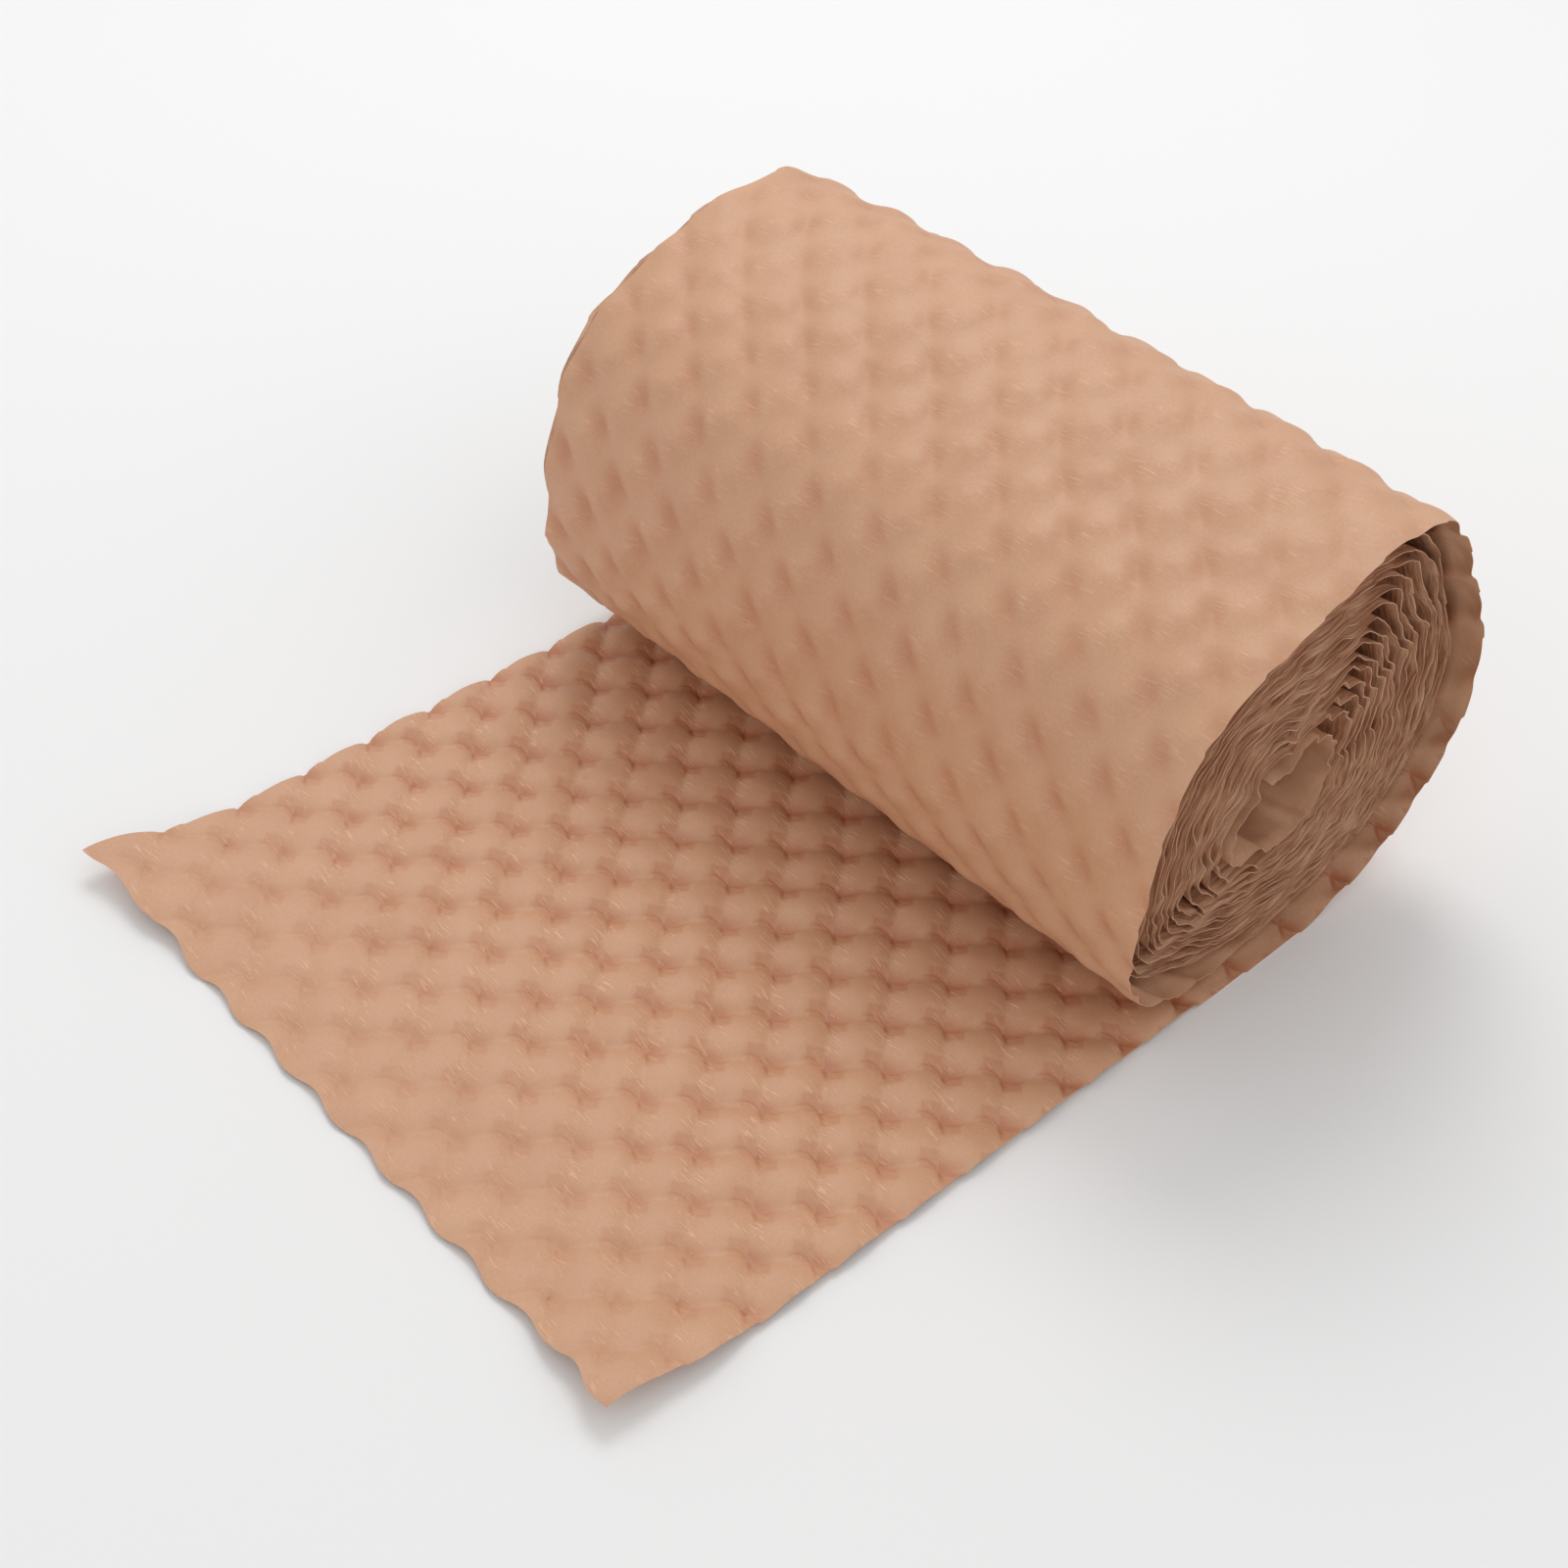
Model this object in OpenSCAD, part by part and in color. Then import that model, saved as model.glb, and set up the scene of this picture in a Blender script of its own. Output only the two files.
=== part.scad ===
// A roll of embossed brown packing paper with its outer end unrolled on the floor.
// The paper is one sheet from the cut end to the innermost turn, so it is one solid.
// The sheet runs along +X from the cut end, under the roll, up its back, over its top
// and down its front, and then inwards turn by turn to an open middle.
// The near end of the roll faces -Y, the far end faces +Y, and the floor is z = 0.
// The origin is on the floor under the middle of the roll.

/* [Sheet] */
// Width of the paper across the roll
sheet_width = 300; // [200:1:500]
// Thickness of the paper
paper_thickness = 0.4; // [0.2:0.05:0.6]
// Rise from the bottom of a pit to the top of a hill
dimple_height = 5.5; // [3:0.5:7]
// Distance from one pit to the next along the sheet
dimple_length = 30.5; // [26:0.5:40]
// Number of pits in a row across the sheet
dimples_across = 10; // [6:1:12]
// Distance from the cut end to the first row of dimples
first_row = 10.5; // [5:0.5:15]
// How deep the dimples are at the cut end, as a share of their full depth
cut_end_depth = 0.6; // [0.4:0.05:1]
// How deep the dimples stay on the tight outer turn, as a share of their full depth
wound_depth = 0.65; // [0.3:0.05:1]

/* [Free end] */
// Distance along the floor from the cut end to the middle of the roll
free_length = 304; // [220:1:450]
// How far each corner of the cut end curls up from the floor
corner_lift = 9; // [0:1:15]
// How far the corners are drawn out, as the paper there was pulled to unroll it
corner_pull = 8; // [0:1:12]
// Length of the curl at a corner, along the sheet and across it
corner_reach = 70; // [40:1:100]

/* [Roll] */
// Width of the roll from its front to its back
roll_width = 193; // [180:1:230]
// Height of the roll's near end above the floor
roll_height = 200; // [190:1:240]
// How much lower the far end of the roll is than the near end
far_drop = 8; // [0:1:15]
// How much higher the roll stands halfway along it than a straight line between its two ends
crown_bow = 4; // [0:1:8]
// How much nearer to the cut end the far end of the roll lies than the near end
roll_skew = 15; // [0:1:40]
// Number of turns from the outer face to the hollow
turns = 15; // [10:1:15]
// Slack between the outermost turn and the turns inside it
loose_gap = 4; // [3:0.5:6]
// How far the inner turns have slid out of the outermost turn towards the far end
inner_slide = 9; // [0:1:15]
// Height at which the sagging roll is widest
widest_height = 74; // [65:1:100]
// How far the outline of the soft near end bulges and dents over its upper part
slump = 6; // [0:0.5:8]
// Roundness of the section: 2 is an ellipse, and more is squarer
section_power = 2.15; // [2:0.05:2.5]
// Length of the patch that is pressed flat on the floor under the roll
foot_length = 40; // [20:1:50]

/* [Hollow] */
// Width of the open middle
hollow_width = 58; // [45:1:65]
// Height of the open middle
hollow_height = 62; // [45:1:65]
// Height of the hollow's centre above the floor, below the roll's own centre
hollow_rise = 80; // [76:1:95]
// How far the innermost end of the sheet curls into the hollow
end_curl = 9; // [0:1:12]

/* [Hidden] */
paper_color = [0.78, 0.61, 0.49];

// Wave of the embossing, as half of its rise and half of its lengths
dimple_amp = dimple_height / 2;
half_wave = dimple_length / 2;
column_gap = sheet_width / (2 * dimples_across);

// The outermost turn's half width, foot and crown, at the middle of the paper
wound_amp = dimple_amp * wound_depth;
half_width = roll_width / 2 - wound_amp;
foot = paper_thickness / 2;
crown = roll_height - wound_amp - paper_thickness / 2;

// Mean radii of the outermost turn and of the hollow
outer_radius = (half_width + (crown - foot) / 2) / 2;
inner_radius = (hollow_width + hollow_height) / 4;

// Where each side of a turn ends up at the hollow, before the slack is taken off
inner_half_width = hollow_width / 2 + loose_gap;
inner_foot = hollow_rise - hollow_height / 2 - loose_gap;
inner_crown = hollow_rise + hollow_height / 2 + loose_gap;

// Room that one turn has at the foot, at the crown and at the sides
foot_pitch = (inner_foot - foot) / turns;
crown_pitch = (crown - far_drop - inner_crown) / turns;
side_pitch = (half_width - inner_half_width) / turns;

// Share of a turn's free room that its waves take up inside the roll
wave_share = 0.42;
// Length over which the sheet rises from its flat foot, to full dimples and to the roll's outline
foot_ease = 25;
// Bulges round the roll, and where one of them has its top, in turns
bulges = 5;
bulge_turn = 0.455;
// Share of the bulges that is left at the far end
far_bulge = 0.5;
// Length of the drawn-out corners, and how far they move along the sheet and across it
pull_reach = 40;
pull_along = 0.4;
near_pull = 0.5;
// Turns over which the slack opens, the inner turns slide and the dimples get shallow
slack_start = 0.5;
slack_span = 1;
settle_start = 0.85;
settle_span = 0.2;
// The coarser rows of the inner turns start here and end here, in turns
inner_start = 1.12;
inner_end = turns + 0.62;
curl_span = 0.17;
rows_per_turn = 26;
// Length over which the dimples deepen behind the cut end
cut_end_fade = 120;

function mix(a, b, share) = a + (b - a) * share;

function clamp(share) = min(max(share, 0), 1);

// Smooth rise from 0 to 1
function ease(share) = let(c = clamp(share)) c * c * (3 - 2 * c);

function squarer(c) = sign(c) * pow(abs(c), 2 / section_power);

// The roll's middle at a place across the sheet
function roll_middle(y) = -roll_skew * y / sheet_width;

// Place across the sheet, from 0 at the near edge to 1 at the far edge
function farness(y) = y / sheet_width + 0.5;

// Slack and the last curl, which both draw a turn inwards
function inset(turn) =
    loose_gap * ease((turn - slack_start) / slack_span)
    + end_curl * ease((turn - inner_end + curl_span) / curl_span);

// Bulge of the outline, none at the foot and fading from turn to turn towards the hollow
function bulge(turn, y) =
    slump * mix(1, far_bulge, farness(y))
    * cos(360 * bulges * (turn - bulge_turn))
    * (1 - cos(360 * turn)) / 2 * (1 - turn / turns);

// Height of the crown, at the middle of the outermost turn, at a place across the sheet
function crown_at(y) =
    crown - far_drop * farness(y) + crown_bow * (1 - pow(2 * farness(y) - 1, 2));

// How much the paper has left the flat foot: 0 on the foot and 1 past its end
function risen(turn) = ease((wound_length(turn) - foot_length / 2) / foot_ease);

// A point [x, z] on the middle of the paper, some turns past the foot
function on_roll(turn, y) =
    let(
        share = turn / turns,
        swell = bulge(turn, y) - inset(turn),
        half_x = mix(half_width, inner_half_width, share) + swell,
        low = mix(foot, inner_foot, share) + inset(turn),
        high = mix(crown_at(y), inner_crown, share) + swell,
        widest = mix(widest_height, hollow_rise, share),
        up = -squarer(cos(360 * turn))
    )
    [
        roll_middle(y) + half_x * squarer(sin(360 * turn)),
        mix(foot, widest + up * (up < 0 ? widest - low : high - widest), risen(turn))
    ];

// Length of paper from the foot to a turn, and the turn at such a length
radius_loss = (outer_radius - inner_radius) / turns;
function wound_length(turn) = 2 * PI * turn * (outer_radius - radius_loss * turn / 2);
function turn_at(length) =
    (outer_radius - sqrt(pow(outer_radius, 2) - radius_loss * length / PI)) / radius_loss;

// Distance of a place on the sheet from the foot's middle, negative on the floor run
function past_foot(s, y) = s - free_length - roll_middle(y);

// Free room between a turn and the next one at this place round the roll
function room(turn) =
    let(side = pow(sin(360 * turn), 2))
    mix(cos(360 * turn) > 0 ? foot_pitch : crown_pitch, side_pitch, side) - paper_thickness;

// Height of the embossing at a place on the sheet: pits and hills in alternate columns
function wave(s, column) =
    (column % 2 == 0 ? 1 : -1) * cos(180 * (s - first_row) / half_wave);

// How much the sheet is pressed flat: 1 under the roll and 0 away from it
function pressed(u) = 1 - ease((abs(u) - foot_length / 2) / foot_ease);

// How much a corner of the cut end curls up
function corner(s, y) =
    corner_lift * ease(1 - s / corner_reach)
    * ease(1 - (sheet_width / 2 - abs(y)) / corner_reach);

// How much a corner of the cut end is drawn out
function pull(s, y) =
    corner_pull * ease(1 - s / pull_reach)
    * ease(1 - (sheet_width / 2 - abs(y)) / pull_reach);

// Full depth of the embossing on the floor run and on the outermost turn
function outer_amp(s, u) =
    (u < 0 ? dimple_amp : wound_amp)
    * mix(cut_end_depth, 1, ease(s / cut_end_fade)) * (1 - pressed(u));

function inner_amp(turn) = wave_share * room(turn);

// Direction across the paper, towards the inside of the roll
function inward(turn, y) =
    let(
        step = 0.002,
        along = on_roll(turn + step, y) - on_roll(turn - step, y)
    )
    [-along[1], along[0]] / norm(along);

// Point of the roll at a turn, lifted off the paper's middle by some height
function wound_point(turn, y, height) =
    let(p = on_roll(turn, y) + height * inward(turn, y))
    [p[0], y + inner_slide * ease((turn - settle_start) / settle_span), p[1]];

// A place on the floor run or the outermost turn, on one face of the paper
function outer_point(s, column, face) =
    let(
        y = sheet_width / 2 - column * column_gap,
        u = past_foot(s, y),
        turn = turn_at(max(u, 0)),
        depth = mix(outer_amp(s, u), inner_amp(turn), ease((turn - settle_start) / settle_span)),
        height = depth * wave(s, column) + face * paper_thickness / 2,
        clear = outer_amp(s, u) * ease(1 - u / (foot_length / 2 + foot_ease))
    )
    u < 0
        ? [
            u + roll_middle(y) - pull_along * pull(s, y),
            y + (y > 0 ? 1 : near_pull) * pull(s, y),
            foot + clear + corner(s, y) + height
        ]
        : wound_point(turn, y, height + clear);

// A place on the inner turns, on one face of the paper
function inner_point(turn, column, face) =
    let(
        y = sheet_width / 2 - column * column_gap,
        s = free_length + roll_middle(y) + wound_length(turn),
        height = inner_amp(turn) * wave(s, column) + face * paper_thickness / 2
    )
    wound_point(turn, y, height);

// Rows of the floor run and the outermost turn, each as its distance from the cut end
last_row = free_length + roll_middle(sheet_width / 2) + wound_length(inner_start - 0.02);
outer_rows = [0, for (s = [first_row : half_wave : last_row]) s];
outer_columns = [for (c = [0 : 2 * dimples_across]) c];

// Rows of the inner turns, which keep the dimples at both ends of the roll only
inner_rows = [for (t = [inner_start : 1 / rows_per_turn : inner_end]) t];
inner_columns = [0, 1, 2 * dimples_across - 1, 2 * dimples_across];

// Number of columns in a row, and number of points before a row
function columns(row) = row < len(outer_rows) ? outer_columns : inner_columns;
function before(row) =
    min(row, len(outer_rows)) * len(outer_columns)
    + max(row - len(outer_rows), 0) * len(inner_columns);

module embossed_paper() {
    rows = len(outer_rows) + len(inner_rows);
    points_a_face = before(rows);

    function face_points(face) = [
        for (s = outer_rows) for (c = outer_columns) outer_point(s, c, face),
        for (t = inner_rows) for (c = inner_columns) inner_point(t, c, face)
    ];

    // The point of the next row that stands across from a point of this row
    function across(row, k) =
        len(columns(row)) == len(columns(row + 1)) ? k
        : k == 0 ? 0
        : k == len(columns(row)) - 1 ? len(inner_columns) - 1
        : k < len(columns(row)) / 2 ? 1
        : len(inner_columns) - 2;

    // Hills are joined to hills by a ridge, so that each pit between them stands alone
    function ridge_at(row, k) =
        (row + k) % 2 == 1 && len(columns(row)) == len(columns(row + 1));

    // The strip of triangles between a row and the next one
    strips = [
        for (row = [0 : rows - 2]) for (k = [0 : len(columns(row)) - 2])
            let(
                a = before(row) + k,
                b = before(row + 1) + across(row, k),
                c = before(row + 1) + across(row, k + 1)
            )
            each c == b ? [[a, a + 1, b]]
                : ridge_at(row, k) ? [[a, a + 1, c], [a, c, b]]
                : [[a, a + 1, b], [a + 1, c, b]]
    ];

    // The cut edges: both sides of the sheet, its cut end and its innermost end
    far_edge = [for (row = [0 : rows - 1]) before(row)];
    near_edge = [for (row = [0 : rows - 1]) before(row + 1) - 1];
    cut_end = [for (k = [0 : len(columns(0)) - 1]) k];
    inner_edge = [for (k = [0 : len(inner_columns) - 1]) before(rows - 1) + k];

    function rim(line) = [
        for (k = [0 : len(line) - 2])
            each [
                [line[k], line[k + 1], line[k + 1] + points_a_face],
                [line[k], line[k + 1] + points_a_face, line[k] + points_a_face]
            ]
    ];

    function turned(triangles) = [for (t = triangles) [t[2], t[1], t[0]]];

    color(paper_color)
        polyhedron(
            points = concat(face_points(1), face_points(-1)),
            faces = concat(
                turned(strips),
                [for (t = strips) t + points_a_face * [1, 1, 1]],
                rim(near_edge),
                rim(cut_end),
                turned(rim(far_edge)),
                turned(rim(inner_edge))
            )
        );
}

embossed_paper();
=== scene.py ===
import math

import bpy
import numpy as np
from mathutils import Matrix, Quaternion, Vector


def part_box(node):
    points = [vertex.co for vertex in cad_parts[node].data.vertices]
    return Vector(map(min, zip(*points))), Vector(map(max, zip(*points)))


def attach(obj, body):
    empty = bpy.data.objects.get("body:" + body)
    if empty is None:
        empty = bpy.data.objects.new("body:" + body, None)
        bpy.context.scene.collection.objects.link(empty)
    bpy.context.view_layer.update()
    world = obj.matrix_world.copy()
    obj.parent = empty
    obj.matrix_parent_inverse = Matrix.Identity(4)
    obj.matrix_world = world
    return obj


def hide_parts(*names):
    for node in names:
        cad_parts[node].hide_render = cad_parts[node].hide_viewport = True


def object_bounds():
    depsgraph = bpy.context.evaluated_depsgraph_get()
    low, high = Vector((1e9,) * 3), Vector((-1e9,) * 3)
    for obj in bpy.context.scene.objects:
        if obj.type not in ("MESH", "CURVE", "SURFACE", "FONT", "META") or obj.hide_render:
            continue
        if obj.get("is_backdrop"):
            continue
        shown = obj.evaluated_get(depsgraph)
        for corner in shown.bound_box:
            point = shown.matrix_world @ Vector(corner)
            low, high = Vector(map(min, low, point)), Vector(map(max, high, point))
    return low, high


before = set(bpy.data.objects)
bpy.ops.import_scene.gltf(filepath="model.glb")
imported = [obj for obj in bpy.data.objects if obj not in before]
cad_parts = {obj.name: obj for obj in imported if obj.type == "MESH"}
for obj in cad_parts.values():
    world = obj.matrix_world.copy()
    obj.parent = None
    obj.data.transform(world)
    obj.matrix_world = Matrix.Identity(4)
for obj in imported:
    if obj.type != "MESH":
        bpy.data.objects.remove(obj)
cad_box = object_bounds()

# THE FREE END AND THE OUTERMOST TURN
# One sheet of brown kraft paper, pressed dry between rollers into pits and hills. Its outer end lies on
# the floor as it was unrolled, and the next stretch of it is the skin of the roll: it passes under the
# roll, up its back, over its top and down its front. Nothing but the winding holds it.
SHEET_WIDTH = 0.300
# Distance along the floor from the cut end to the middle of the roll
FREE_LENGTH = 0.304
# A little thicker than the real 0.1 to 0.2 mm, so that the edges of the turns show
PAPER = 0.00025
# Rise from the bottom of a pit to the top of a hill, and the share of it at the cut end and on the roll
DIMPLE_RISE = 0.0055
CUT_END_DEPTH, CUT_END_FADE = 0.6, 0.120
WOUND_DEPTH = 0.65


def mix(a, b, share):
    return a + (b - a) * share


def ease(share):
    """Rises smoothly from 0 to 1."""
    c = np.clip(share, 0, 1)
    return c * c * (3 - 2 * c)


def uneven(a, b, seed, steps, flank=ease):
    """Random heights from -1 to 1 at whole numbers a and b, joined by the given flank."""
    table = np.random.default_rng(seed).uniform(-1, 1, steps)
    i, j = np.floor(a).astype(int), np.floor(b).astype(int)
    fa, fb = flank(a - i), flank(b - j)
    corner = lambda di, dj: table[(i + di) % steps[0], (j + dj) % steps[1]]
    return mix(mix(corner(0, 0), corner(1, 0), fa), mix(corner(0, 1), corner(1, 1), fa), fb)


def rough(a, b, size, seed):
    """Smooth random heights from -1 to 1 over a surface, which change over about size metres."""
    return uneven(a / size, b / size, seed, (251, 251))


# The embossing is a square, staggered pattern: broad hills, sharp pits, and creases from pit to pit
PIT_LENGTH, PIT_WIDTH = 0.0305, 0.0293
FIRST_ROW = 0.0105
# How far the pits lie off their places, and the size of the patches that move together
PIT_SHIFT, SHIFT_PATCH = 0.0011, 0.045


def lattice(s, v):
    """Place in the pattern, in rows along the sheet and in columns across it, as pressed a bit unevenly."""
    s = s + PIT_SHIFT * rough(s, v, SHIFT_PATCH, 1)
    v = v + PIT_SHIFT * rough(s, v, SHIFT_PATCH, 2)
    return (s - FIRST_ROW) / PIT_LENGTH, v / PIT_WIDTH


# How far the creases wander between two pits, and how far from a pit its two folded flaps reach
LINE_WAVE, ARM_SWAY, FLAP = 0.13, 0.08, 0.36
# How much of the embossing is pulled flat on the roll, and the length over which that grows
TAUT, TAUT_LENGTH = 0.88, 0.10


def relief(s, v):
    """The embossing from -1 in a pit to 1 on a hill, s from the cut end and v from the far edge."""
    a, b = lattice(s, v)
    # Steps aslant to the sheet from one pit to the next, with the pits at whole numbers
    x = (a + b - 0.5) % 1
    y = (b - a - 0.5) % 1
    near_x = np.minimum(x, 1 - x)
    near_y = np.minimum(y, 1 - y)
    wave = LINE_WAVE * np.sin(2 * np.pi * x)
    off_line = np.minimum(np.abs(y - wave), np.abs(y - 1 - wave))
    sway = ARM_SWAY * np.sin(np.pi * y) ** 2
    off_arm = np.minimum(np.abs(x - sway), np.abs(x - 1 - sway))
    hill = (np.sin(np.pi * x) * np.sin(np.pi * y)) ** 0.7
    line = np.exp(-off_line / 0.07) * mix(0.3, 1, np.exp(-((near_x / 0.30) ** 2)))
    arm = np.exp(-off_arm / 0.06) * mix(0.1, 1, np.exp(-((near_y / 0.24) ** 2)))
    pit = np.exp(-np.hypot(near_x, near_y) / 0.15)
    flap = ease((FLAP - np.maximum(x, y)) / 0.06) + ease((FLAP - np.maximum(1 - x, 1 - y)) / 0.06)
    # The share that each form has in the height, and what brings the whole back to its middle
    crisp = 0.95 * hill - 0.50 * line - 0.40 * arm - 0.50 * pit - 0.16 * flap - 0.12
    # Winding pulled the paper of the roll taut, which left rows of low bumps with a groove between them
    groove = np.exp(-(((y - 0.5) / 0.15) ** 2)) * (0.55 + 0.45 * np.cos(2 * np.pi * x))
    bumps = 1.5 * groove - 0.27 * (np.cos(2 * np.pi * x) + np.cos(2 * np.pi * y)) - 0.38
    height = mix(crisp, bumps, TAUT * ease((s - FREE_LENGTH) / TAUT_LENGTH))
    return height * (0.86 + 0.14 * rough(s, v, 0.030, 3))


# The roll is soft and lies on its side: flat under its foot, widest low down, and slumped at its near end
ROLL_WIDTH, ROLL_HEIGHT = 0.193, 0.200
WIDEST_HEIGHT = 0.074
# How much lower its far end is, how much higher it stands halfway, and how far it lies askew
FAR_DROP, CROWN_BOW, ROLL_SKEW = 0.008, 0.004, 0.015
SLUMP, BULGES, BULGE_TURN, FAR_BULGE = 0.006, 5, 0.455, 0.5
# 2 would be an ellipse
SECTION_POWER = 2.15
FOOT_LENGTH, FOOT_EASE = 0.040, 0.025
HOLLOW_WIDTH, HOLLOW_HEIGHT, HOLLOW_RISE = 0.058, 0.062, 0.080
# The winding is counted in turns from the foot, and ends in a small curl into the hollow
TURNS = 15
LAST_TURN = TURNS + 0.62
END_CURL, CURL_SPAN = 0.009, 0.17
# Slack between the outermost turn and the turns inside it
LOOSE_GAP = 0.004
# The solid's paper is thicker, and the foot keeps to its middle
SOLID_PAPER = 0.0004
foot = SOLID_PAPER / 2
crown = ROLL_HEIGHT - WOUND_DEPTH * DIMPLE_RISE / 2 - foot
half_width = ROLL_WIDTH / 2 - WOUND_DEPTH * DIMPLE_RISE / 2
outer_radius = (half_width + (crown - foot) / 2) / 2
inner_radius = (HOLLOW_WIDTH + HOLLOW_HEIGHT) / 4
radius_loss = (outer_radius - inner_radius) / TURNS
inner_half_width = HOLLOW_WIDTH / 2 + LOOSE_GAP
inner_foot = HOLLOW_RISE - HOLLOW_HEIGHT / 2 - LOOSE_GAP
inner_crown = HOLLOW_RISE + HOLLOW_HEIGHT / 2 + LOOSE_GAP


def roll_middle(y):
    """The roll's middle line on the floor, which runs askew."""
    return -ROLL_SKEW * y / SHEET_WIDTH


def farness(y):
    """Place across the sheet, from 0 at the near edge to 1 at the far edge."""
    return y / SHEET_WIDTH + 0.5


def wound_length(turn):
    """Length of paper from the foot to a place some turns on, as each turn is a little shorter."""
    return 2 * np.pi * turn * (outer_radius - radius_loss * turn / 2)


def turn_at(length):
    """The turn that a length of paper past the foot reaches."""
    return (outer_radius - np.sqrt(outer_radius**2 - radius_loss * length / np.pi)) / radius_loss


def past_foot(s, v):
    """Length of paper past the middle of the roll's foot, which is below 0 on the free end."""
    return s - FREE_LENGTH - roll_middle(SHEET_WIDTH / 2 - v)


def crinkle(a, b, seed):
    """Random heights from -1 to 1 with straight flanks between sharp folds, which change over 1."""
    return uneven(a, b, seed, (997, 61), flank=lambda share: share)


# The inner turns are crumpled. Each one takes over most of the folds of the turn outside it and adds
# some of its own, so they lie nested like a stack of chevrons.
STEPS_A_TURN, SLICE = 360, 0.010
FOLD, OWN_LIMIT, CARRIED = 0.0032, 0.0019, 0.80
# Long folds and short ones: their share, how many there are in a turn, and their length along the roll
LONG_FOLDS, SHORT_FOLDS = (0.9, 21.0, 0.045), (0.5, 47.0, 0.03)
FOLD_LEAN = 0.9
slices = np.arange(0, SHEET_WIDTH + SLICE, SLICE)
folds = np.zeros((int((TURNS + 3) * STEPS_A_TURN), len(slices)))
for step in range(len(folds) - STEPS_A_TURN):
    at = np.full(len(slices), step / STEPS_A_TURN)
    lean = at + FOLD_LEAN * slices
    own = 0
    for (share, count, length), seed in ((LONG_FOLDS, 11), (SHORT_FOLDS, 12)):
        own = own + share * crinkle(lean * count, slices / length, seed)
    settled = ease(at / 0.35) * ease((TURNS - at) / 2)
    change = FOLD * own * settled - (1 - CARRIED) * folds[step]
    folds[step + STEPS_A_TURN] = folds[step] + np.clip(change, -OWN_LIMIT, OWN_LIMIT)


def folds_at(turn, y):
    """How far the folds push a place inwards, between the values of the table."""
    i = turn * STEPS_A_TURN
    j = (y + SHEET_WIDTH / 2) / SLICE
    i0 = np.clip(np.floor(i).astype(int), 0, len(folds) - 2)
    j0 = np.clip(np.floor(j).astype(int), 0, len(slices) - 2)
    fi, fj = np.clip(i - i0, 0, 1), np.clip(j - j0, 0, 1)
    near = mix(folds[i0, j0], folds[i0 + 1, j0], fi)
    far = mix(folds[i0, j0 + 1], folds[i0 + 1, j0 + 1], fi)
    return mix(near, far, fj)


# Dents of the loose innermost turn, round the hollow
DENT, DENTS_A_TURN, DENT_LENGTH = 0.0034, 11.0, 0.022


def on_roll(turn, y):
    """The place (x, z) on the middle of the paper, some turns past the foot."""
    share = turn / TURNS
    wall = ease((turn - LAST_TURN + 1.1) / 0.15)
    dents = DENT * (1 + crinkle(turn * DENTS_A_TURN, (y + SHEET_WIDTH) / DENT_LENGTH, 13)) * wall
    curl = END_CURL * ease((turn - LAST_TURN + CURL_SPAN) / CURL_SPAN)
    inset = LOOSE_GAP * ease(turn - 0.5) + curl + folds_at(turn, y) + dents
    sine, cosine = np.sin(2 * np.pi * turn), np.cos(2 * np.pi * turn)
    slump = SLUMP * mix(1, FAR_BULGE, farness(y)) * (1 - cosine) / 2 * (1 - share)
    bulge = slump * np.cos(2 * np.pi * BULGES * (turn - BULGE_TURN))
    half_x = mix(half_width, inner_half_width, share) - inset + bulge
    bottom = mix(foot, inner_foot, share) + inset
    bow = CROWN_BOW * (1 - (2 * farness(y) - 1) ** 2)
    top = mix(crown - FAR_DROP * farness(y) + bow, inner_crown, share) - inset + bulge
    widest = mix(WIDEST_HEIGHT, HOLLOW_RISE, share)
    squarer = lambda c: np.sign(c) * np.abs(c) ** (2 / SECTION_POWER)
    up = -squarer(cosine)
    x = roll_middle(y) + half_x * squarer(sine)
    z = widest + up * np.where(up < 0, widest - bottom, top - widest)
    risen = ease((wound_length(turn) - FOOT_LENGTH / 2) / FOOT_EASE)
    return x, mix(foot, z, risen)


def room(turn):
    """Free room between a turn and the next one."""
    side = np.sin(2 * np.pi * turn) ** 2
    foot_pitch = (inner_foot - foot) / TURNS
    crown_pitch = (crown - inner_crown) / TURNS
    side_pitch = (half_width - inner_half_width) / TURNS
    end = np.where(np.cos(2 * np.pi * turn) > 0, foot_pitch, crown_pitch)
    return mix(end, side_pitch, side) - PAPER


# Share of the free room that the embossing takes up from the second turn on, which begins here
WAVE_SHARE = 0.13
SETTLE_START, SETTLE_SPAN = 0.85, 0.2
# How far the inner turns have slid out of the outermost one towards the far end
INNER_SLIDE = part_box("embossed_paper")[1][1] - SHEET_WIDTH / 2
# The corners of the cut end curl up, and they are drawn out, as the paper was pulled there to unroll it
CORNER_LIFT, CORNER_REACH = 0.009, 0.070
CORNER_PULL, PULL_REACH = 0.008, 0.040
PULL_ALONG, NEAR_PULL = 0.4, 0.5
# The cut end is scalloped where the embossing drew it in, and small tucks step both long edges
SCALLOP, SCALLOP_REACH = 0.0013, 0.020
TUCK, TUCK_REACH = 0.0008, 0.012
# Height of the slight waves of the loose sheet and of the wound one, 22 mm and 8 mm long
LONG_WAVES, SHORT_WAVES = (0.0006, 0.0002, 0.022, 4), (0.00025, 0.0001, 0.008, 5)


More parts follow.
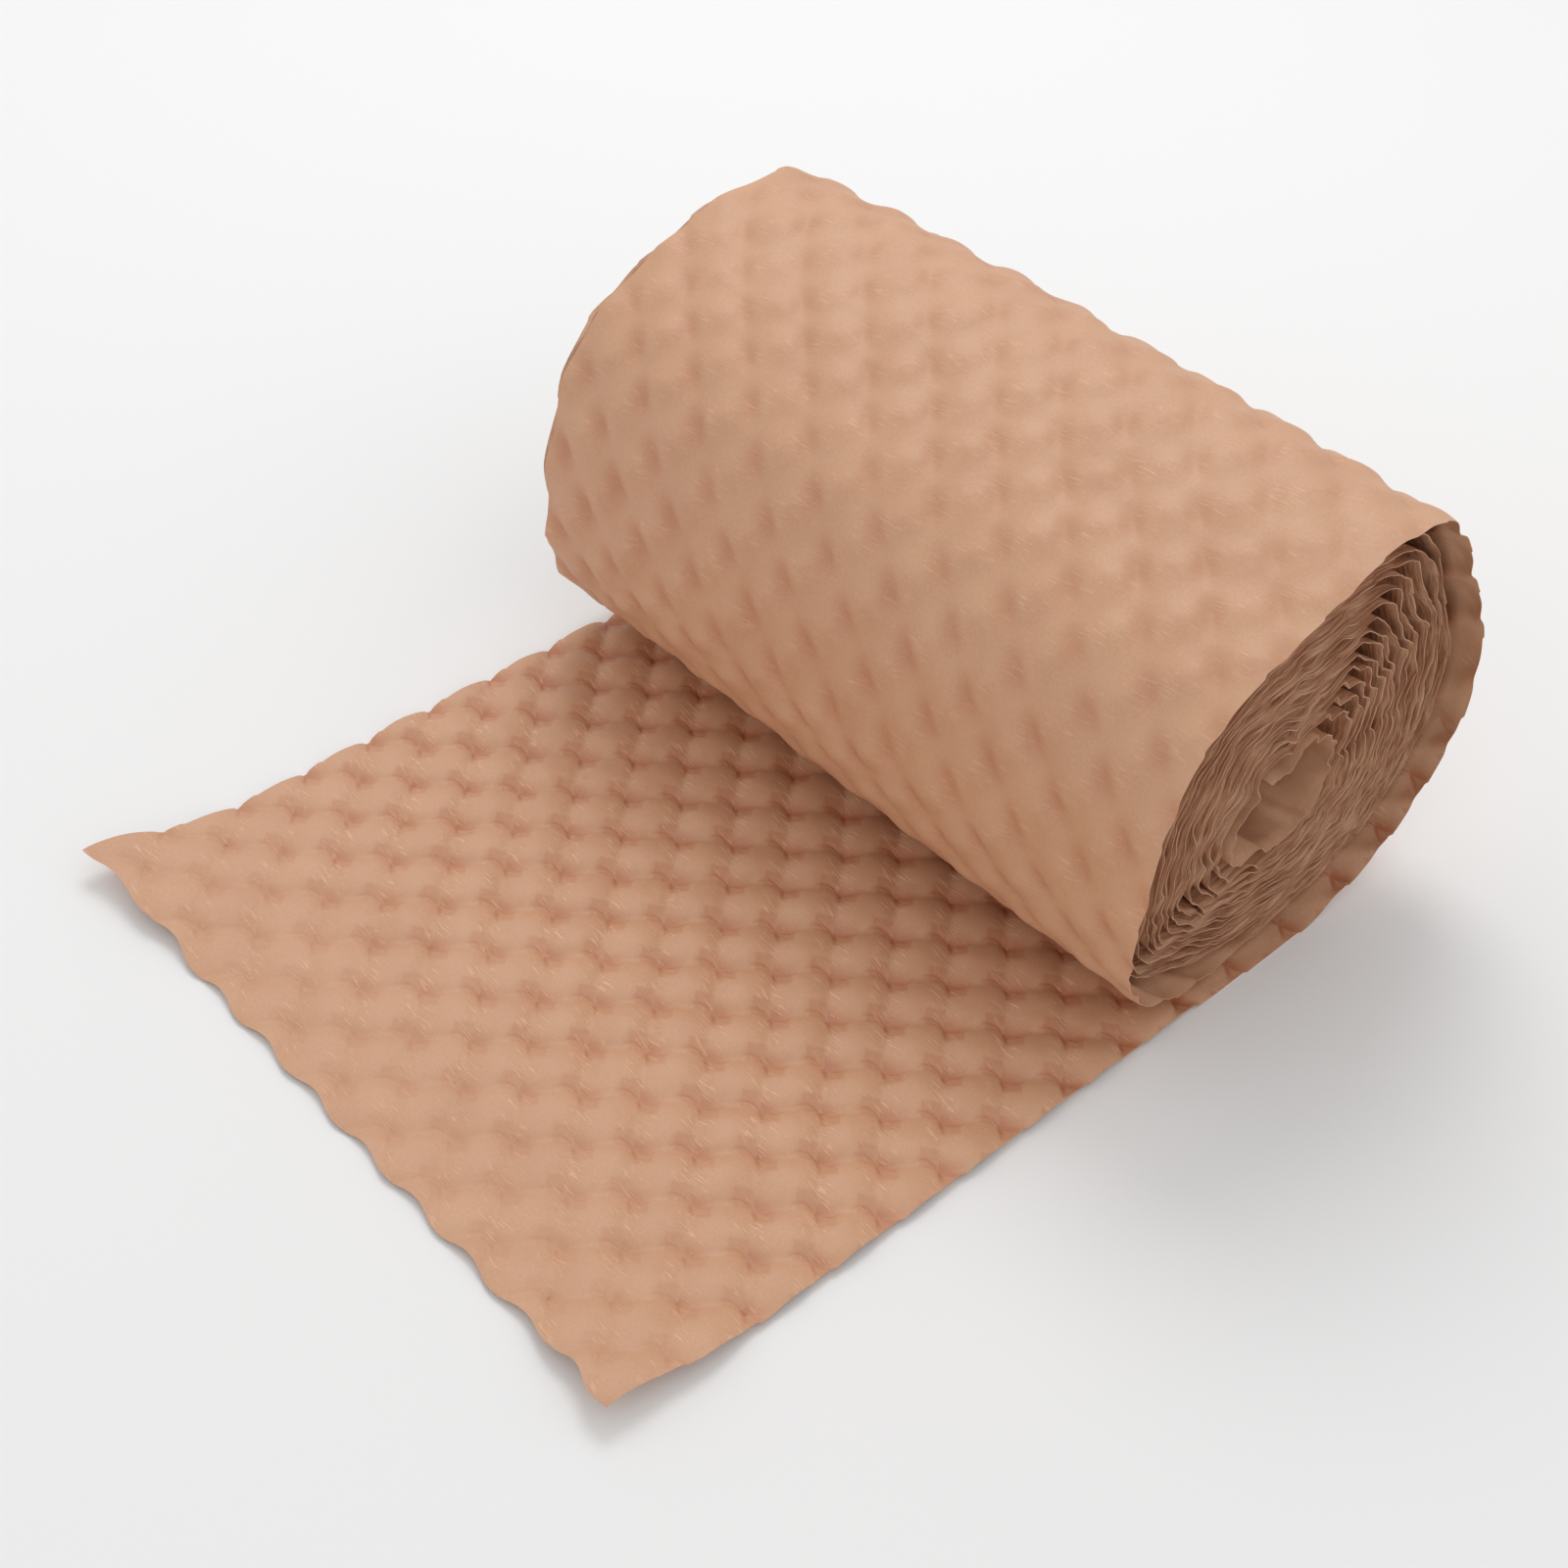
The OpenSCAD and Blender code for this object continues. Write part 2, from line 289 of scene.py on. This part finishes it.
def paper(s, v):
    """Points on the middle of the paper, s metres from the cut end and v from the far edge."""
    y = SHEET_WIDTH / 2 - v
    u = past_foot(s, v)
    turn = turn_at(np.maximum(u, 0))
    inside = ease((turn - SETTLE_START) / SETTLE_SPAN)
    pressed = 1 - ease((np.abs(u) - FOOT_LENGTH / 2) / FOOT_EASE)
    full = DIMPLE_RISE / 2 * mix(CUT_END_DEPTH, 1, ease(s / CUT_END_FADE)) * (1 - pressed)
    full = full * mix(1, WOUND_DEPTH, ease(u / 0.06))
    height = mix(full, WAVE_SHARE * room(turn), inside) * relief(s, v)
    loose, wound_tight, length, seed = LONG_WAVES
    height = height + mix(loose, wound_tight, inside) * rough(s, v, length, seed) * (1 - pressed)
    loose, wound_tight, length, seed = SHORT_WAVES
    height = height + mix(loose, wound_tight, inside) * rough(s, v, length, seed)
    # On the floor the pits touch it, so the middle of the embossing lies higher there
    off = height + full * ease(1 - u / (FOOT_LENGTH / 2 + FOOT_EASE))

    step = 0.002
    ahead, behind = on_roll(turn + step, y), on_roll(turn - step, y)
    along_x, along_z = ahead[0] - behind[0], ahead[1] - behind[1]
    span = np.hypot(along_x, along_z)
    middle_x, middle_z = on_roll(turn, y)
    wound = u >= 0
    to_edge = SHEET_WIDTH / 2 - np.abs(y)
    corner = ease(1 - s / CORNER_REACH) * ease(1 - to_edge / CORNER_REACH)
    pull = CORNER_PULL * ease(1 - s / PULL_REACH) * ease(1 - to_edge / PULL_REACH)
    x = np.where(wound, middle_x - off * along_z / span, u + roll_middle(y) - PULL_ALONG * pull)
    x = x - SCALLOP * np.cos(2 * np.pi * v / PIT_WIDTH) * ease(1 - s / SCALLOP_REACH)
    z = np.where(wound, middle_z + off * along_x / span, foot + off + CORNER_LIFT * corner)
    z = np.maximum(z, 0.8 * PAPER)
    tuck_place = (s + 0.006 * rough(s, v, 0.06, 6)) / PIT_LENGTH
    tuck = TUCK * (tuck_place % 1 - 0.5) * ease(1 - to_edge / TUCK_REACH)
    sideways = INNER_SLIDE * inside + pull * mix(NEAR_PULL, 1, v < SHEET_WIDTH / 2) + tuck
    return np.stack([x, y + sideways, z], axis=-1)


# How strong the painted shade in the creases is on the roll, against the free end, and on the wall of the
# hollow
ROLL_CREASE_SHADE, HOLLOW_CREASE_SHADE = 0.30, 0.10


def sheet_piece(name, s, v):
    """A closed shell of paper over a grid of places s and v, with its flat size as its UV map."""
    middle = paper(s, v)
    rows, columns = s.shape
    across = np.gradient(middle, axis=1)
    along = np.gradient(middle, axis=0)
    normal = np.cross(across, along)
    normal /= np.linalg.norm(normal, axis=-1, keepdims=True)
    points = np.concatenate([(middle + side * PAPER / 2 * normal).reshape(-1, 3) for side in (1, -1)])
    index = np.arange(rows * columns).reshape(rows, columns)
    quads = np.stack([index[:-1, :-1], index[:-1, 1:], index[1:, 1:], index[1:, :-1]], axis=-1)
    quads = quads.reshape(-1, 4)
    rim = np.concatenate([index[0, :], index[1:, -1], index[-1, -2::-1], index[-2:0:-1, 0]])
    under = rows * columns
    following = np.roll(rim, -1)
    rim_quads = np.stack([rim, rim + under, following + under, following], axis=-1)
    faces = np.concatenate([quads, quads[:, ::-1] + under, rim_quads])
    mesh = bpy.data.meshes.new(name)
    mesh.vertices.add(len(points))
    mesh.vertices.foreach_set("co", points.ravel())
    mesh.loops.add(faces.size)
    mesh.loops.foreach_set("vertex_index", faces.ravel())
    mesh.polygons.add(len(faces))
    mesh.polygons.foreach_set("loop_start", np.arange(0, faces.size, 4))
    mesh.update(calc_edges=True)
    for layer, places in (("flat_sheet", (s, v)), ("pit_pattern", lattice(s, v))):
        flat = np.stack([place.ravel() for place in places], axis=-1)
        flat = np.concatenate([flat, flat])[faces.ravel()]
        mesh.uv_layers.new(name=layer).data.foreach_set("uv", flat.ravel())

    # The painted shade in the creases fades up the roll's back, and the painted shade in the grooves
    # between its bumps is strongest on its steep sides
    u = past_foot(s, v)
    turn = turn_at(np.maximum(u, 0))
    crease_shade = mix(CUT_END_DEPTH, 1, ease(s / CUT_END_FADE)) * mix(1, ROLL_CREASE_SHADE, ease((u - 0.10) / 0.08))
    crease_shade = crease_shade * (1 - ease((turn - SETTLE_START) / SETTLE_SPAN))
    crease_shade = crease_shade + HOLLOW_CREASE_SHADE * ease((turn - LAST_TURN + 1.05) / 0.1)
    steep = np.abs(np.sin(2 * np.pi * turn)) ** 1.5
    groove = ease(turn / 0.1) * mix(0.30, 1, steep) * (turn < 1.14)
    for attribute, strength in (("crease_shade_strength", crease_shade), ("groove_shade_strength", groove)):
        values = np.concatenate([strength.ravel()] * 2)
        mesh.attributes.new(attribute, "FLOAT", "POINT").data.foreach_set("value", values)
    mesh.polygons.foreach_set("use_smooth", np.ones(len(faces), dtype=bool))
    mesh.set_sharp_from_angle(angle=math.radians(60))
    mesh.validate()
    piece = bpy.data.objects.new(name, mesh)
    bpy.context.scene.collection.objects.link(piece)
    return piece


def linear(code):
    """A colour written as sRGB hex, as the linear values that a shader takes."""
    channels = [int(code[k : k + 2], 16) / 255 for k in (1, 3, 5)]
    return [c / 12.92 if c <= 0.04045 else ((c + 0.055) / 1.055) ** 2.4 for c in channels] + [1.0]


def add(tree, kind, settings, inputs):
    """Adds a shader node with its settings, and its inputs in order or by name, as values or as links."""
    made = tree.nodes.new("ShaderNode" + kind)
    for name, value in settings.items():
        setattr(made, name, value)
    if isinstance(inputs, list):
        inputs = dict(zip([k for k, socket in enumerate(made.inputs) if socket.enabled], inputs))
    for name, value in inputs.items():
        if isinstance(value, bpy.types.Node):
            value = next(output for output in value.outputs if output.enabled)
        if isinstance(value, bpy.types.NodeSocket):
            tree.links.new(value, made.inputs[name])
        else:
            made.inputs[name].default_value = value
    return made


PLUS, MINUS, TIMES = {"operation": "ADD"}, {"operation": "SUBTRACT"}, {"operation": "MULTIPLY"}
TIMES_PLUS, LARGER, POWER = {"operation": "MULTIPLY_ADD"}, {"operation": "MAXIMUM"}, {"operation": "POWER"}
FRACTION, FOLDED, SINE = {"operation": "FRACT"}, {"operation": "PINGPONG"}, {"operation": "SINE"}
SOFT_STEP = {"interpolation_type": "SMOOTHSTEP"}
BLEND, TINT = {"data_type": "RGBA"}, {"data_type": "RGBA", "blend_type": "MULTIPLY"}

# Size of the clouds that the pulp settles in
PULP_CLOUD = 0.0263
# Real fibres are about 0.03 mm thick, too fine to show, so they are drawn as specks of about 1 mm
FIBRE = 0.001111
# A wrinkle's highlight is 0.1 to 0.3 mm wide, and is drawn 0.8 mm wide to show
STROKE_WIDTH, STROKE_LENGTH = 0.0008, 0.0066667
CRUMPLE = 0.00625
# Creases along the edges of the crumpled inner turns, as bumps and as painted light and shade
STREAK_LENGTH, STREAK_WIDTH = 0.014286, 0.0016129
# How far in from the edge of the sheet they reach, and where they have their full strength
STREAK_END, STREAK_FULL = 0.030, 0.004
# The painted shade that darkens and warms the paper in its creases, and the painted highlight that
# brightens a wrinkle, which no hex colour can say
CREASE_SHADE, WRINKLE_HIGHLIGHT = linear("#E2B195"), (1.22, 1.27, 1.34, 1.0)


def kraft_paper():
    """Unbleached kraft paper, pressed matt between rollers, with a faint sheen. It is faintly mottled, with
    painted shade that makes it darker and warmer in its creases, painted highlights as short bright strokes
    where the embossing wrinkled it, and painted light and shade in streaks along the edges of the inner
    turns."""
    material = bpy.data.materials.new("kraft_paper")
    material.use_nodes = True
    tree = material.node_tree
    tree.nodes.clear()
    flat = add(tree, "UVMap", {"uv_map": "flat_sheet"}, [])
    flat_place = add(tree, "SeparateXYZ", {}, [flat])
    along, across = flat_place.outputs[0], flat_place.outputs[1]

    # Broad mottling and fibres
    mottle = add(tree, "TexNoise", {}, {"Vector": flat, "Scale": 1 / PULP_CLOUD, "Detail": 3.0})
    fibres = add(tree, "TexNoise", {}, {"Vector": flat, "Scale": 1 / FIBRE, "Detail": 2.0})
    tone = add(tree, "Mix", BLEND, [mottle, linear("#C4906D"), linear("#D3A480")])
    speck = add(tree, "Math", TIMES_PLUS, [fibres, 0.20, 0.90])
    speck_color = add(tree, "CombineColor", {}, [speck, speck, speck])
    color = add(tree, "Mix", TINT, [1.0, tone, speck_color])

    # Steps aslant to the sheet from pit to pit, as in the relief
    pattern = add(tree, "SeparateXYZ", {}, [add(tree, "UVMap", {"uv_map": "pit_pattern"}, [])])
    row, column = pattern.outputs[0], pattern.outputs[1]
    x = add(tree, "Math", MINUS, [add(tree, "Math", PLUS, [row, column]), 0.5])
    x = add(tree, "Math", FRACTION, [x])
    y = add(tree, "Math", MINUS, [add(tree, "Math", MINUS, [column, row]), 0.5])
    y = add(tree, "Math", FRACTION, [y])
    near_x = add(tree, "Math", FOLDED, [x, 0.5])
    near_y = add(tree, "Math", FOLDED, [y, 0.5])
    wave = add(tree, "Math", SINE, [add(tree, "Math", TIMES, [x, 2 * math.pi])])
    wave = add(tree, "Math", TIMES, [wave, LINE_WAVE])
    half_turn = add(tree, "Math", SINE, [add(tree, "Math", TIMES, [y, math.pi])])
    sway = add(tree, "Math", TIMES, [add(tree, "Math", TIMES, [half_turn, half_turn]), ARM_SWAY])
    above_line = add(tree, "Math", FRACTION, [add(tree, "Math", MINUS, [wave, y])])
    beside_arm = add(tree, "Math", FRACTION, [add(tree, "Math", MINUS, [x, sway])])

    # Painted shade in the creases round each pit, darker and warmer as little light gets into them. The
    # painted shade beside a pit fades slowly up the hill over the line and ends at once below it.
    up_hill = add(tree, "MapRange", SOFT_STEP, [above_line, 0.40, 0.0])
    beside_pit = add(tree, "MapRange", SOFT_STEP, [x, 0.52, 0.16])
    painted_pit_shade = add(tree, "Math", TIMES, [add(tree, "Math", TIMES, [up_hill, beside_pit]), 0.95])
    over = add(tree, "MapRange", SOFT_STEP, [above_line, 0.09, 0.0])
    below = add(tree, "MapRange", SOFT_STEP, [above_line, 0.965, 1.0])
    by_pit = add(tree, "MapRange", SOFT_STEP, [near_x, 0.50, 0.22])
    line = add(tree, "Math", TIMES, [add(tree, "Math", PLUS, [over, below]), by_pit])
    over = add(tree, "MapRange", SOFT_STEP, [beside_arm, 0.12, 0.0])
    below = add(tree, "MapRange", SOFT_STEP, [beside_arm, 0.93, 1.0])
    by_pit = add(tree, "MapRange", SOFT_STEP, [y, 0.48, 0.12])
    arm = add(tree, "Math", TIMES, [add(tree, "Math", PLUS, [over, below]), by_pit])
    crease_shade = add(tree, "Math", LARGER, [add(tree, "Math", LARGER, [painted_pit_shade, line]), arm])
    # Painted shade on the two folded flaps beside each pit
    flaps = []
    for edge_x, edge_y in ((x, y), [add(tree, "Math", MINUS, [1.0, edge]) for edge in (x, y)]):
        reach = add(tree, "Math", LARGER, [edge_x, edge_y])
        flaps.append(add(tree, "MapRange", SOFT_STEP, [reach, FLAP, FLAP - 0.05]))
    both_flaps = add(tree, "Math", TIMES, [add(tree, "Math", PLUS, flaps), 0.42])
    crease_shade = add(tree, "Math", LARGER, [crease_shade, both_flaps])

    # The painted crease shade is weaker on the taut roll, where painted shade in the grooves between the
    # bumps shows instead, and strongest on the floor close to the roll, which keeps the light off them
    strength = add(tree, "Attribute", {"attribute_name": "crease_shade_strength"}, []).outputs["Fac"]
    inner = add(tree, "MapRange", SOFT_STEP, [strength, 0.12, 0.0])
    weakened = add(tree, "MapRange", SOFT_STEP, [strength, 0.9, 0.35])
    weakened = add(tree, "Math", TIMES, [weakened, add(tree, "Math", MINUS, [1.0, inner])])
    kept = add(tree, "Math", TIMES, [strength, add(tree, "Math", TIMES_PLUS, [weakened, -0.7, 1.0])])
    crease_shade = add(tree, "Math", TIMES, [crease_shade, kept])
    by_roll = add(tree, "MapRange", SOFT_STEP, [along, 0.10, 0.28])
    crease_shade = add(tree, "Math", TIMES, [crease_shade, add(tree, "Math", TIMES_PLUS, [by_roll, 0.40, 0.60])])
    # Painted shade in the grooves between the roll's bumps, strongest on its steep sides
    groove_shade_strength = add(tree, "Attribute", {"attribute_name": "groove_shade_strength"}, []).outputs["Fac"]
    groove = add(
        tree,
        "Math",
        TIMES,
        [
            add(tree, "MapRange", SOFT_STEP, [near_y, 0.16, 0.5]),
            add(tree, "MapRange", SOFT_STEP, [near_x, 0.55, 0.0]),
        ],
    )
    groove = add(tree, "Math", TIMES, [groove, groove_shade_strength])
    crease_shade = add(tree, "Math", TIMES_PLUS, [groove, 0.45, crease_shade])
    color = add(tree, "Mix", TINT, [crease_shade, color, CREASE_SHADE])

    # Painted highlights on short wrinkles in two directions, most of them in the valleys between two pits;
    # the wrinkles are also bumps
    valley = add(
        tree,
        "Math",
        TIMES,
        [
            add(tree, "MapRange", SOFT_STEP, [near_x, 0.36, 0.16]),
            add(tree, "MapRange", SOFT_STEP, [y, 0.02, 0.26]),
        ],
    )
    strokes = []
    for angle, seed in ((0.30, 0.0), (-0.8, 5.0)):
        turned = {"Vector": flat, "Rotation": (0, 0, angle), "Location": (seed, seed, 0)}
        turned["Scale"] = (1 / STROKE_WIDTH, 1 / STROKE_LENGTH, 1.0)
        turned = add(tree, "Mapping", {}, turned)
        noise = add(tree, "TexNoise", {}, {"Vector": turned, "Scale": 1.0, "Detail": 0.0})
        patches = add(tree, "TexNoise", {}, {"Vector": turned, "Scale": 0.35, "Detail": 0.0})
        noise = add(tree, "MapRange", SOFT_STEP, [noise, 0.56, 0.66])
        patches = add(tree, "MapRange", SOFT_STEP, [patches, 0.50, 0.58])
        strokes.append(add(tree, "Math", TIMES, [noise, patches]))
    wrinkles = add(tree, "Math", TIMES, [add(tree, "Math", PLUS, strokes), valley])
    wrinkles = add(tree, "Math", TIMES, [wrinkles, add(tree, "Math", TIMES_PLUS, [strength, 0.85, 0.15])])
    color = add(tree, "Mix", TINT, [wrinkles, color, WRINKLE_HIGHLIGHT])

    # Painted light and shade in streaks along the crumpled edges of the inner turns, redder where darker;
    # the streaks are also bumps
    to_edge = add(tree, "Math", FOLDED, [across, SHEET_WIDTH / 2])
    by_edge = add(tree, "MapRange", SOFT_STEP, [to_edge, STREAK_END, STREAK_FULL])
    stretched = {"Vector": flat, "Scale": (1 / STREAK_LENGTH, 1 / STREAK_WIDTH, 1.0)}
    stretched = add(tree, "Mapping", {}, stretched)
    streak = {"Vector": stretched, "Scale": 1.0, "Detail": 2.0, "Roughness": 0.7}
    streak = add(tree, "TexNoise", {}, streak)
    shade = add(tree, "MapRange", {}, [streak, 0.36, 0.62, 0.58, 1.24])
    at_edge = add(tree, "Math", TIMES, [inner, by_edge])
    shade = add(tree, "Mix", {"data_type": "FLOAT"}, [at_edge, 1.0, shade])
    red, blue = (add(tree, "Math", POWER, [shade, power]) for power in (0.6, 1.2))
    color = add(tree, "Mix", TINT, [1.0, color, add(tree, "CombineColor", {}, [red, shade, blue])])

    # Depth of the crumples, wrinkles, streaks and fibres in metres
    crumple = add(tree, "TexNoise", {}, {"Vector": flat, "Scale": 1 / CRUMPLE, "Detail": 3.0})
    height = add(tree, "Math", TIMES, [crumple, 0.0004])
    height = add(tree, "Math", TIMES_PLUS, [wrinkles, 0.00018, height])
    height = add(tree, "Math", TIMES_PLUS, [add(tree, "Math", TIMES, [streak, inner]), 0.0009, height])
    height = add(tree, "Math", TIMES_PLUS, [fibres, 0.00004, height])
    bump = add(tree, "Bump", {}, {"Strength": 0.8, "Distance": 1.0, "Height": height})
    # Uncoated paper is rough, and the rollers gave it a faint sheen that shows on the lit slopes
    surface = {"Base Color": color, "Roughness": 0.58, "Specular IOR Level": 0.85, "Normal": bump}
    add(tree, "OutputMaterial", {}, {"Surface": add(tree, "BsdfPrincipled", {}, surface)})
    return material


kraft = kraft_paper()


def finish_paper(piece):
    """Gives a stretch of the sheet its paper, and its place in the part."""
    piece.data.materials.append(kraft)
    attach(piece, "root")
    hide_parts("embossed_paper")


def stretch(name, start, end, spacing):
    """The sheet from start to end, in metres from its cut end, with points spacing metres apart."""
    s = np.linspace(start, end, int(round((end - start) / spacing)) + 1)
    v = np.linspace(0, SHEET_WIDTH, int(round(SHEET_WIDTH / spacing)) + 1)
    s_grid, v_grid = np.meshgrid(s, v, indexing="ij")
    finish_paper(sheet_piece(name, s_grid, v_grid))


# The skin runs a little way under itself, where the inner turns take over
OUTER_TURNS = 1.13
back_end = FREE_LENGTH + wound_length(OUTER_TURNS) / 2
front_end = FREE_LENGTH + wound_length(OUTER_TURNS)
stretch("free_end", 0.0, FREE_LENGTH, 0.0015)
stretch("outer_turn_back", FREE_LENGTH, back_end, 0.0018)
stretch("outer_turn_front", back_end, front_end, 0.0016)

# THE INNER TURNS
# The rest of the same sheet, wound inwards to the open middle. Only its two long edges show, at the
# ends of the roll, so it is drawn finely there and coarsely between them.
INNER_START = 1.12
# Distance between points along the sheet, and across it at its rim, beside it and out of sight
INNER_STEP = 0.0021
RIM_DEPTH, EDGE_DEPTH, HIDDEN_DEPTH = 0.015, 0.045, 0.0495
RIM_STEP, EDGE_STEP, HIDDEN_STEP = 0.0018, 0.0035, 0.0146
rim_columns = np.arange(0, RIM_DEPTH, RIM_STEP)
edge_columns = np.concatenate([rim_columns, np.arange(RIM_DEPTH, EDGE_DEPTH, EDGE_STEP)])
hidden_columns = np.arange(HIDDEN_DEPTH, SHEET_WIDTH - HIDDEN_DEPTH, HIDDEN_STEP)
columns = np.concatenate([edge_columns, hidden_columns, SHEET_WIDTH - edge_columns[::-1]])


def turns(name, first, last):
    """The sheet from one turn to another, counted from the roll's foot."""
    count = int((wound_length(last) - wound_length(first)) / INNER_STEP)
    turn = turn_at(np.linspace(wound_length(first), wound_length(last), count))
    turn_grid, v_grid = np.meshgrid(turn, columns, indexing="ij")
    s_grid = FREE_LENGTH + roll_middle(SHEET_WIDTH / 2 - v_grid) + wound_length(turn_grid)
    finish_paper(sheet_piece(name, s_grid, v_grid))


turns("second_turns", INNER_START, 4.0)
turns("middle_turns", 4.0, 8.5)
turns("core_turns", 8.5, LAST_TURN)

# FLOOR
# A plain pale studio floor of matt card, which keeps the roll's soft shadow.
HALF_FLOOR = 6.0
corners = [(HALF_FLOOR * x, HALF_FLOOR * y, 0) for x, y in ((-1, -1), (1, -1), (1, 1), (-1, 1))]
mesh = bpy.data.meshes.new("floor")
mesh.from_pydata(corners, [], [(0, 1, 2, 3)])
floor = bpy.data.objects.new("floor", mesh)
bpy.context.scene.collection.objects.link(floor)
floor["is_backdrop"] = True
pale_floor = bpy.data.materials.new("pale_floor")
pale_floor.use_nodes = True
card = pale_floor.node_tree.nodes["Principled BSDF"]
card.inputs["Base Color"].default_value = linear("#F2F2F2")
card.inputs["Roughness"].default_value = 0.9
mesh.materials.append(pale_floor)

# LIGHT
# Even studio light from all round, with one large soft lamp high up behind the roll.
LAMP_PLACE, LAMP_AIM = Vector((0.5, 0.7, 1.6)), Vector((0, 0, 0.05))
LAMP_SIZE, LAMP_WATTS = 0.9, 9
ROOM_LIGHT = 0.78
scene = bpy.context.scene
world = bpy.data.worlds.new("studio")
scene.world = world
world.use_nodes = True
world.node_tree.nodes["Background"].inputs["Color"].default_value = (1, 1, 1, 1)
world.node_tree.nodes["Background"].inputs["Strength"].default_value = ROOM_LIGHT
lamp_data = bpy.data.lights.new("key", "AREA")
lamp_data.shape = "DISK"
lamp_data.size = LAMP_SIZE
lamp_data.energy = LAMP_WATTS
lamp = bpy.data.objects.new("key", lamp_data)
lamp.location = LAMP_PLACE
lamp.rotation_euler = (LAMP_AIM - LAMP_PLACE).to_track_quat("-Z", "Y").to_euler()
scene.collection.objects.link(lamp)
scene.view_settings.view_transform = "Standard"

# CAMERA
# The place, direction and field of view worked out from the photo's straight edges and pits.
CAMERA_PLACE = (-0.5834, -0.4571, 0.6915)
LOOK_RIGHT, LOOK_DOWN, TILT = math.radians(46.37), math.radians(44.30), math.radians(6.0)
LENS = 57.22
ahead = Vector(
    (
        math.sin(LOOK_RIGHT) * math.cos(LOOK_DOWN),
        math.cos(LOOK_RIGHT) * math.cos(LOOK_DOWN),
        -math.sin(LOOK_DOWN),
    )
)
camera = bpy.data.objects.new("camera", bpy.data.cameras.new("camera"))
scene.collection.objects.link(camera)
camera.location = CAMERA_PLACE
camera.rotation_mode = "QUATERNION"
camera.rotation_quaternion = Quaternion(-ahead, TILT) @ ahead.to_track_quat("-Z", "Y")
camera.data.sensor_width = 36
camera.data.lens = LENS
camera.data.clip_start, camera.data.clip_end = 0.01, 50
scene.camera = camera

visual_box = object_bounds()
[[list(corner) for corner in box] for box in (cad_box, visual_box)]
